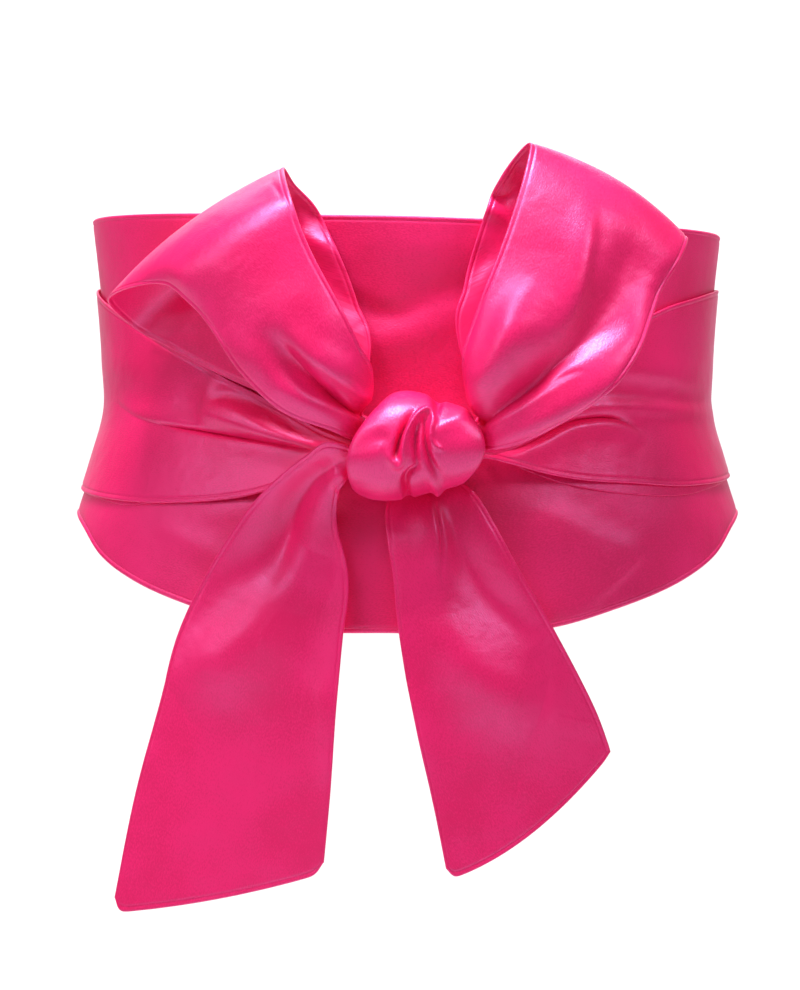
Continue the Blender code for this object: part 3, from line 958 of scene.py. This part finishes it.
LOOP_RIGHT_ROLLS = (
    fold_line(
        (654, 190, 0.0, 60, 36),
        (650, 214, -2.8, 60, 36),
        (644, 240, -5.0, 60, 36),
        (636, 266, -6.2, 54, 36),
        (623, 294, -6.4, 40, 34),
        (604, 320, -6.2, 24, 30),
        (582, 344, -5.8, 13, 25),
        (558, 367, -6.2, 7, 24),
        (537, 388, -6.4, 5, 24),
        (518, 402, -5.8, 4.5, 20),
        (500, 413, -4.6, 4.5, 14),
        (482, 425, -3.2, 4.5, 9),
    ),
    fold_line(
        (488, 446, 0.6, 9, 8),
        (516, 434, 2.8, 13, 9),
        (548, 416, 4.6, 17, 11),
        (580, 398, 5.8, 20, 13),
        (608, 380, 5.8, 22, 14),
        (632, 356, 4.2, 22, 14),
        (650, 324, 1.8, 20, 14),
        (662, 290, 0.0, 20, 14),
    ),
    fold_line(
        (474, 408, 0.0, 12, 12),
        (480, 388, 2.2, 14, 16),
        (496, 364, 4.8, 16, 22),
        (509, 338, 6.0, 19, 26),
        (521, 310, 4.0, 20, 28),
        (538, 280, 1.2, 22, 26),
        (542, 252, 0.0, 22, 26),
    ),
    fold_line(
        (592, 192, 0.0, 10, 16),
        (589, 222, 1.8, 9, 18),
        (585, 256, 2.4, 9, 18),
        (579, 290, 2.2, 10, 16),
        (568, 320, 0.8, 9, 14),
        (556, 344, 0.0, 9, 14),
    ),
    fold_line(
        (543, 392, 0.0, 3, 3),
        (556, 382, -0.9, 3, 3),
        (570, 374, -0.8, 3, 3),
        (584, 369, 0.0, 3, 3),
    ),
    fold_line(
        (462, 402, -1.5, 7, 7),
        (457, 370, -3.0, 9, 9),
        (462, 340, -3.2, 10, 10),
        (472, 312, -2.4, 9, 9),
        (482, 286, 0.0, 7, 7),
    ),
    fold_line(
        (692, 240, -1.0, 9, 9),
        (679, 274, -2.4, 11, 11),
        (662, 308, -2.4, 11, 11),
        (640, 344, -1.6, 10, 10),
        (610, 382, 0.0, 9, 9),
    ),
)
LOOP_RIGHT_BACK_ROLLS = (
    fold_line(
        (522, 148, 1.2, 5, 5),
        (512, 160, 1.8, 5, 5),
        (504, 176, 1.4, 5, 5),
        (494, 186, 0.3, 5, 5),
    ),
    fold_line(
        (520, 186, -1.0, 8, 8),
        (506, 198, -2.2, 8, 8),
        (490, 196, -1.2, 7, 7),
    ),
    fold_line(
        (508, 222, 0.6, 8, 9),
        (492, 212, 1.8, 8, 9),
        (480, 208, 1.0, 8, 9),
    ),
    fold_line(
        (500, 246, -0.8, 12, 14),
        (480, 262, -1.8, 12, 16),
        (466, 284, -0.8, 12, 14),
    ),
)


def between_edges(rows, at, across):
    """Straight across from the low edge to the high edge at each section."""
    low = np.stack([read(rows, "low_" + axis, at) for axis in "xyz"], axis=-1)
    high = np.stack([read(rows, "high_" + axis, at) for axis in "xyz"], axis=-1)
    return low + (high - low) * across[..., None]


def loop(name, outward, rows, rolls, back_rolls, sections=330):
    """outward is 1 or -1, the side of the net of points that faces out of the loop. The front
    layer's folds stand out of the loop, and the back layer's towards the inside, as seen."""
    at = np.linspace(0, 1, sections)[:, None]
    across = crowded(88, LOOP_WIDTH)[None, :]
    at, across = np.broadcast_arrays(at, across)
    flat = between_edges(rows, at, across)
    crown = read(rows, "crown", at) * 4 * across * (1 - across)
    points = flat + normals(flat) * (outward * crown)[..., None]
    seen = in_picture(points)
    front = fade((at - FRONT_LAYER_END) / FRONT_LAYER_FADE) * (1 - fade(at / LOOP_ROOT))
    back = 1 - fade((at - BACK_LAYER_START) / BACK_LAYER_FADE)
    back = back * fade((at - BACK_LAYER_END) / BACK_LAYER_FADE)
    height = 0
    for line in rolls:
        height = height + front * roll(seen, line)
    for line in back_rolls:
        height = height - back * roll(seen, line)
    points = points + normals(points) * (outward * height)[..., None]
    obj = shell(name, points, TIE_WALL, seam=LOOP_SEAM)
    dressed(obj, TIE_SATIN, "tie_satin", name.replace("_cloth", ""))


loop("loop_left_cloth", -1, LOOP_LEFT, LOOP_LEFT_ROLLS, LOOP_LEFT_BACK_ROLLS)
loop("loop_right_cloth", 1, LOOP_RIGHT, LOOP_RIGHT_ROLLS, LOOP_RIGHT_BACK_ROLLS)

# Tails
# The free ends of the ties. They come out of the knot gathered, lie over the panel and hang past
# its hem, where they open out to their full width. The cut ends slant.

TAIL_LENGTH = 180.0
TAIL_WIDTH = 88.0
TAIL_SEAM = 0.5
CORNER_ROUNDING = 4.0
CORNER_WIDTH = 2.2
CUT_BOW_LEFT = 2.4
CUT_BOW_RIGHT = 7.5
TAIL_LEFT = table(
    "at low_x low_y low_z high_x high_y high_z",
    (0.00, -18.2, -126.5, -20.0, -20.4, -120.5, -28.5),
    (0.025, -24.0, -129.0, -17.2, -24.2, -122.0, -30.0),
    (0.05, -31.0, -130.0, -15.5, -26.5, -122.5, -33.5),
    (0.10, -40.0, -123.5, -20.5, -27.8, -118.5, -37.0),
    (0.16, -50.2, -116.5, -28.0, -28.5, -115.5, -43.0),
    (0.24, -62.4, -108.0, -40.0, -27.5, -113.5, -51.5),
    (0.32, -74.0, -101.5, -56.2, -24.8, -113.5, -61.0),
    (0.42, -85.2, -96.5, -75.3, -23.6, -114.5, -75.0),
    (0.52, -92.8, -93.5, -92.5, -25.8, -115.5, -92.0),
    (0.66, -100.7, -93.5, -121.6, -28.3, -116.0, -120.0),
    (0.84, -111.2, -92.5, -160.8, -31.0, -114.0, -156.0),
    (1.00, -120.2, -91.5, -206.1, -34.0, -112.0, -188.0),
)
TAIL_RIGHT = table(
    "at low_x low_y low_z high_x high_y high_z",
    (0.00, 21.5, -106.0, -31.0, -8.5, -106.0, -35.0),
    (0.08, 28.0, -109.5, -37.5, -9.2, -110.5, -44.5),
    (0.18, 35.5, -110.5, -50.0, -8.2, -115.0, -55.0),
    (0.28, 43.0, -110.0, -64.0, -6.2, -117.5, -68.0),
    (0.42, 55.5, -108.0, -85.0, -4.5, -120.5, -86.0),
    (0.56, 67.0, -104.5, -106.0, -1.0, -122.0, -109.0),
    (0.70, 75.5, -101.0, -123.0, 3.5, -122.0, -132.0),
    (0.85, 80.5, -98.0, -136.0, 10.0, -120.0, -160.0),
    (1.00, 82.0, -97.0, -141.0, 16.0, -118.0, -190.0),
)
TAIL_LEFT_ROLLS = (
    fold_line(
        (346, 459, -1.0, 5, 8),
        (330, 469, -2.4, 7, 12),
        (314, 481, -3.8, 9, 16),
        (301, 496, -4.8, 11, 20),
        (292, 512, -5.2, 12, 22),
        (286, 532, -4.8, 13, 24),
        (279, 554, -3.6, 15, 26),
        (268, 578, -1.8, 16, 26),
        (256, 600, 0.0, 16, 26),
    ),
    fold_line(
        (336, 478, 0.8, 9, 8),
        (326, 496, 2.0, 13, 10),
        (318, 520, 2.8, 17, 14),
        (311, 548, 2.6, 20, 18),
        (303, 580, 1.6, 22, 20),
        (292, 612, 0.0, 22, 20),
    ),
    fold_line(
        (304, 462, 0.4, 10, 7),
        (274, 486, 1.4, 16, 8),
        (250, 516, 1.8, 18, 9),
        (230, 548, 1.0, 18, 10),
        (214, 574, 0.0, 18, 10),
    ),
    fold_line(
        (176, 696, 0.0, 30, 40),
        (196, 682, 2.2, 34, 42),
        (222, 662, 5.6, 36, 46),
        (250, 636, 6.4, 36, 46),
        (274, 604, 4.8, 32, 38),
        (292, 574, 2.0, 28, 30),
        (306, 546, 0.0, 26, 28),
    ),
    fold_line(
        (341, 474, 0.6, 3, 3),
        (338, 490, -0.8, 4, 4),
        (337, 512, -1.0, 5, 5),
        (340, 532, 0.8, 5, 5),
        (345, 550, 1.6, 6, 6),
        (346, 572, 0.4, 6, 6),
        (346, 594, 0.0, 6, 6),
    ),
    fold_line(
        (312, 668, 0.0, 18, 18),
        (322, 700, 0.8, 18, 18),
        (326, 740, 0.5, 18, 18),
        (322, 790, 0.0, 18, 18),
    ),
)
TAIL_RIGHT_ROLLS = (
    fold_line(
        (424, 494, 1.6, 10, 14),
        (430, 510, 3.4, 12, 20),
        (434, 530, 4.6, 14, 24),
        (436, 552, 4.6, 16, 26),
        (436, 574, 3.0, 16, 26),
        (438, 596, 1.2, 16, 24),
        (442, 614, 0.0, 16, 20),
    ),
    fold_line(
        (433, 500, 0.0, 2.5, 2.5),
        (437, 520, -1.2, 2.5, 2.5),
        (440, 545, -1.4, 3, 2.5),
        (440, 568, -0.8, 3, 3),
        (442, 588, 0.0, 3, 3),
    ),
    fold_line(
        (450, 520, -0.6, 12, 12),
        (462, 552, -2.2, 14, 16),
        (484, 588, -2.8, 17, 18),
        (510, 616, -2.2, 18, 18),
        (538, 644, 0.0, 18, 18),
    ),
    fold_line(
        (426, 602, 1.0, 22, 26),
        (446, 634, 4.0, 28, 30),
        (474, 668, 5.6, 34, 34),
        (506, 692, 4.6, 36, 36),
        (540, 704, 1.2, 30, 32),
    ),
    fold_line(
        (470, 486, 0.6, 8, 8),
        (482, 520, 1.8, 11, 14),
        (504, 560, 1.8, 12, 16),
        (528, 600, 0.8, 12, 16),
        (552, 640, 0.0, 12, 16),
    ),
    fold_line(
        (404, 680, 0.0, 12, 12),
        (414, 710, 0.7, 14, 14),
        (428, 750, 0.5, 14, 14),
        (440, 800, 0.0, 14, 14),
    ),
)


def tail(name, outward, rows, rolls, cut_bow, sections=240):
    """outward is 1 or -1, the side of the net of points that faces the front. The corners of
    the cut end are a little rounded, as they are when a tube is turned right side out."""
    end = EDGE_STEPS / TAIL_LENGTH
    run = np.linspace(0, 1 - EDGE_MARGIN / TAIL_LENGTH, sections)
    at = np.concatenate([run, 1 - end[::-1]])[:, None]
    across = crowded(90, TAIL_WIDTH)[None, :]
    at, across = np.broadcast_arrays(at, across)
    side = TAIL_WIDTH * np.minimum(across, 1 - across)
    at = at * (1 - CORNER_ROUNDING / TAIL_LENGTH * np.exp(-((side / CORNER_WIDTH) ** 1.5)))
    flat = between_edges(rows, at, across)
    seen = in_picture(flat)
    height = 0
    for line in rolls:
        height = height + roll(seen, line)
    points = flat + normals(flat) * (outward * height)[..., None]
    points[..., 2] -= cut_bow * 4 * across * (1 - across) * at**3
    obj = shell(name, points, TIE_WALL, seam=TAIL_SEAM, ends=(False, True))
    dressed(obj, TIE_SATIN, "tie_satin", name.replace("_cloth", ""))


tail("tail_left_cloth", 1, TAIL_LEFT, TAIL_LEFT_ROLLS, CUT_BOW_LEFT)
tail("tail_right_cloth", -1, TAIL_RIGHT, TAIL_RIGHT_ROLLS, CUT_BOW_RIGHT)

# Knot
# Both ties wound through each other in the middle and pulled tight. A band of cloth shows, over
# the front from top to bottom, with deep gathers in its middle and dished ends.

KNOT_CENTRE = (0.0, -118.5, -17.0)
KNOT_BACK_SHARE = 0.88
KNOT_LEFT = -17.0
KNOT_LEFT_LEAN = 6.0
KNOT_LEFT_SWELL = 6.5
KNOT_RIGHT = 23.5
KNOT_RIGHT_LEAN = 0.5
KNOT_RIGHT_SWELL = 7.5
DISH_LEFT = -16.5
DISH_LEFT_SLOPE = 0.25
DISH_RIGHT = 23.9
KNOT_RADIUS = 20.0
KNOT_FOLDS_FADE = 8.0
KNOT_RIM_START = 6.6
KNOT_RIM_RISE = 8.0
KNOT_BAND = table(
    "across half_height half_depth",
    (0.00, 17.5, 17.5),
    (0.12, 20.5, 20.0),
    (0.28, 21.6, 21.0),
    (0.50, 20.6, 20.2),
    (0.72, 17.8, 19.0),
    (0.90, 16.2, 18.2),
    (1.00, 14.5, 16.0),
)
KNOT_PROFILE = table(
    "share across rim size",
    (0.00, 0.00, 0.00, 0.00),
    (0.09, 0.00, 0.00, 0.52),
    (0.15, 0.00, 0.05, 0.76),
    (0.20, 0.00, 0.85, 0.87),
    (0.25, 0.02, 1.00, 0.96),
    (0.36, 0.14, 1.00, 1.00),
    (0.64, 0.86, 1.00, 1.00),
    (0.75, 0.98, 1.00, 0.96),
    (0.80, 1.00, 0.85, 0.87),
    (0.85, 1.00, 0.05, 0.76),
    (0.91, 1.00, 0.00, 0.52),
    (1.00, 1.00, 0.00, 0.00),
)
KNOT_ROLLS = (
    fold_line(
        (413, 412, -0.4, 3, 3),
        (406, 422, -3.0, 2.6, 2.6),
        (401, 433, -4.8, 2.6, 2.6),
        (398, 445, -5.2, 2.6, 2.6),
        (396, 455, -3.6, 2.6, 2.6),
        (396, 461, 0.0, 2.6, 2.6),
    ),
    fold_line(
        (388, 450, 0.2, 4, 3),
        (390, 460, 1.2, 4, 3),
        (397, 467, 1.6, 4, 3),
        (403, 460, 1.7, 3, 3),
        (403, 447, 2.0, 3, 3),
        (405, 436, 2.3, 3, 3),
        (410, 426, 2.6, 3, 3.5),
        (417, 417, 2.8, 3, 3.5),
        (425, 412, 2.9, 3.5, 3.5),
        (431, 413, 2.9, 3.5, 3),
        (433, 420, 2.8, 3.5, 3),
        (431, 430, 2.6, 3, 3),
        (431, 439, 2.4, 3, 3),
        (435, 446, 1.8, 3, 3),
        (442, 450, 0.3, 3, 3),
    ),
    fold_line(
        (418, 423, -1.0, 3, 3),
        (416, 431, -2.8, 3.6, 3.6),
        (415, 445, -3.2, 3.6, 3.6),
        (416, 457, -2.6, 3, 3),
        (418, 467, -1.0, 3, 3),
    ),
    fold_line(
        (424, 420, -1.2, 2.4, 2.4),
        (425, 432, -2.8, 2.4, 2.4),
        (426, 445, -3.6, 2.6, 2.6),
        (429, 457, -3.2, 3, 3),
        (434, 468, -2.0, 4, 4),
        (440, 478, -0.4, 5, 5),
    ),
    fold_line(
        (417, 465, -0.6, 3, 3),
        (410, 472, -2.8, 3, 3),
        (406, 480, -4.0, 3, 4),
        (406, 489, -4.2, 3, 4),
        (409, 499, -3.6, 3, 4),
    ),
    fold_line(
        (424, 462, 0.4, 4, 4),
        (430, 476, 1.2, 5, 5),
        (437, 488, 2.4, 5, 5),
        (442, 500, 3.2, 5, 5),
    ),
    fold_line(
        (340, 452, 0.0, 10, 10),
        (362, 444, -0.9, 11, 11),
        (380, 438, -1.3, 9, 9),
        (390, 444, -0.4, 6, 8),
    ),
    fold_line(
        (438, 430, 1.0, 6, 8),
        (454, 421, 1.4, 8, 10),
        (470, 414, 1.2, 8, 10),
        (484, 414, 0.4, 8, 10),
    ),
    fold_line(
        (436, 392, -3.0, 5, 5),
        (438, 402, -3.2, 4, 5),
        (437, 411, -1.6, 3, 4),
        (437, 422, 0.0, 3, 4),
    ),
)


def knot(name, rings=230, sections=330):
    """A band of rings from the left dish, over the left rim, across the front and over the right
    rim to the right dish, closed by a pole at each end. The folds stay off the rims."""
    share = np.linspace(0, 1, rings)[1:-1, None]
    around = np.linspace(-180, 180, sections + 1)[None, :-1]
    share, around = np.broadcast_arrays(share, around)
    across = np.clip(read(KNOT_PROFILE, "across", share), 0, 1)
    size = read(KNOT_PROFILE, "size", share)
    angle = around * pi / 180
    left = KNOT_LEFT + KNOT_LEFT_LEAN * np.sin(angle) - KNOT_LEFT_SWELL * np.cos(angle) ** 2
    right = KNOT_RIGHT - KNOT_RIGHT_LEAN * np.sin(angle) + KNOT_RIGHT_SWELL * np.cos(angle) ** 2
    y = -read(KNOT_BAND, "half_depth", across) * size * np.cos(angle)
    y = np.where(y > 0, y * KNOT_BACK_SHARE, y)
    z = read(KNOT_BAND, "half_height", across) * size * np.sin(angle)
    edge = left + (right - left) * across
    floor = np.where(share < 0.5, DISH_LEFT + DISH_LEFT_SLOPE * z, DISH_RIGHT)
    x = floor + (edge - floor) * read(KNOT_PROFILE, "rim", share)
    points = np.stack([x, y, z], axis=-1) + KNOT_CENTRE
    out = np.stack([0 * x, y, z], axis=-1)
    out /= np.maximum(np.linalg.norm(out, axis=-1, keepdims=True), 1e-9)
    seen = in_picture(points)
    front = fade((points[..., 1] - KNOT_CENTRE[1] + 1) / KNOT_FOLDS_FADE)
    front = front * np.clip(size * KNOT_RIM_RISE - KNOT_RIM_START, 0, 1)
    height = 0
    for line in KNOT_ROLLS:
        height = height + front * roll(seen, line)
    points = points + out * height[..., None]
    ends = [points[0].mean(axis=0), points[-1].mean(axis=0)]
    count, columns = points.shape[:2]
    number = np.arange(count * columns).reshape(count, columns)
    after = np.roll(number, -1, axis=1)
    faces = np.stack([number[:-1], after[:-1], after[1:], number[1:]], axis=-1).reshape(-1, 4).tolist()
    poles = count * columns, count * columns + 1
    for c in range(columns):
        faces.append([poles[0], int(after[0, c]), int(number[0, c])])
        faces.append([poles[1], int(number[-1, c]), int(after[-1, c])])
    mesh = bpy.data.meshes.new(name)
    mesh.from_pydata((np.concatenate([points.reshape(-1, 3), ends]) * MM).tolist(), [], faces)
    cloth = np.stack([angle * KNOT_RADIUS, edge], axis=-1).reshape(-1, 2)
    on_cloth(mesh, np.concatenate([cloth, [[0, 0], [0, 0]]]) * MM)
    dressed(finished(name, mesh), TIE_SATIN, "tie_satin", "knot")


knot("knot_cloth")

# Floor, light and camera
# The sash hangs in front of a plain white sweep, as if worn, in soft light from above. The
# sweep's wall stands far enough back for a camera behind the sash.

FLOOR_HEIGHT = -0.80
FLOOR_REACH = 4.0
WALL_DEPTH = 3.2
WALL_HEIGHT = 3.8
CORNER_RADIUS = 0.6
PALE = (0.93, 0.93, 0.93, 1)
WORLD_STRENGTH = 0.15
SASH_MIDDLE = (0.0, -0.09, 0.0)
WALL_MIDDLE = (0.0, 3.2, 0.0)


def light(name, place, target, size, power):
    """A soft rectangular light, in metres and watts, that shines at a target."""
    lamp = bpy.data.lights.new(name, "AREA")
    lamp.shape = "RECTANGLE"
    lamp.size, lamp.size_y = size
    lamp.energy = power
    obj = bpy.data.objects.new(name, lamp)
    obj.location = place
    obj.rotation_euler = (Vector(target) - Vector(place)).to_track_quat("-Z", "Y").to_euler()
    bpy.context.scene.collection.objects.link(obj)


corner = np.linspace(0, pi / 2, 17)
depth = np.r_[-FLOOR_REACH, WALL_DEPTH - CORNER_RADIUS * (1 - np.sin(corner)), WALL_DEPTH]
rise = np.r_[0.0, CORNER_RADIUS * (1 - np.cos(corner)), WALL_HEIGHT]
bm = bmesh.new()
strips = []
for x in (-FLOOR_REACH, FLOOR_REACH):
    strips.append([bm.verts.new((x, y, FLOOR_HEIGHT + z)) for y, z in zip(depth, rise)])
for a, b, c, d in zip(strips[0], strips[0][1:], strips[1][1:], strips[1]):
    bm.faces.new((a, d, c, b))
floor_mesh = bpy.data.meshes.new("sweep")
bm.to_mesh(floor_mesh)
bm.free()
floor_mesh.shade_smooth()
sweep = bpy.data.objects.new("sweep", floor_mesh)
bpy.context.scene.collection.objects.link(sweep)
white = bpy.data.materials.new("sweep_white")
white.use_nodes = True
paint = white.node_tree.nodes["Principled BSDF"]
paint.inputs["Base Color"].default_value = PALE
paint.inputs["Roughness"].default_value = 0.9
floor_mesh.materials.append(white)

world = bpy.data.worlds.new("studio")
world.use_nodes = True
sky = world.node_tree.nodes["Background"]
sky.inputs["Color"].default_value = (1.0, 1.0, 1.0, 1)
sky.inputs["Strength"].default_value = WORLD_STRENGTH
bpy.context.scene.world = world
light("overhead_light", (-0.10, -0.45, 1.55), SASH_MIDDLE, (0.60, 0.45), 33)
light("left_light", (-0.70, -0.95, 1.20), SASH_MIDDLE, (0.5, 0.5), 9)
light("low_left_light", (-1.25, -0.85, 0.50), SASH_MIDDLE, (0.5, 0.5), 2.6)
light("right_light", (1.05, -0.70, 0.90), SASH_MIDDLE, (0.5, 0.5), 5)
light("rear_light", (0.1, 0.70, 1.30), SASH_MIDDLE, (0.7, 0.7), 4)
light("backdrop_light", (0.0, 2.0, 2.4), WALL_MIDDLE, (3.0, 1.0), 88)

camera = bpy.data.cameras.new("camera")
camera.sensor_width = 36
camera.lens = PIXELS_PER_SLOPE * camera.sensor_width / (2 * PICTURE_MIDDLE[1])
camera.clip_end = 20
camera_object = bpy.data.objects.new("camera", camera)
camera_object.location = (VIEW_SIDE * MM, -VIEW_DISTANCE * MM, VIEW_HEIGHT * MM)
camera_object.rotation_euler = (radians(90), 0, 0)
bpy.context.scene.collection.objects.link(camera_object)
bpy.context.scene.camera = camera_object
bpy.context.scene.view_settings.view_transform = "Standard"
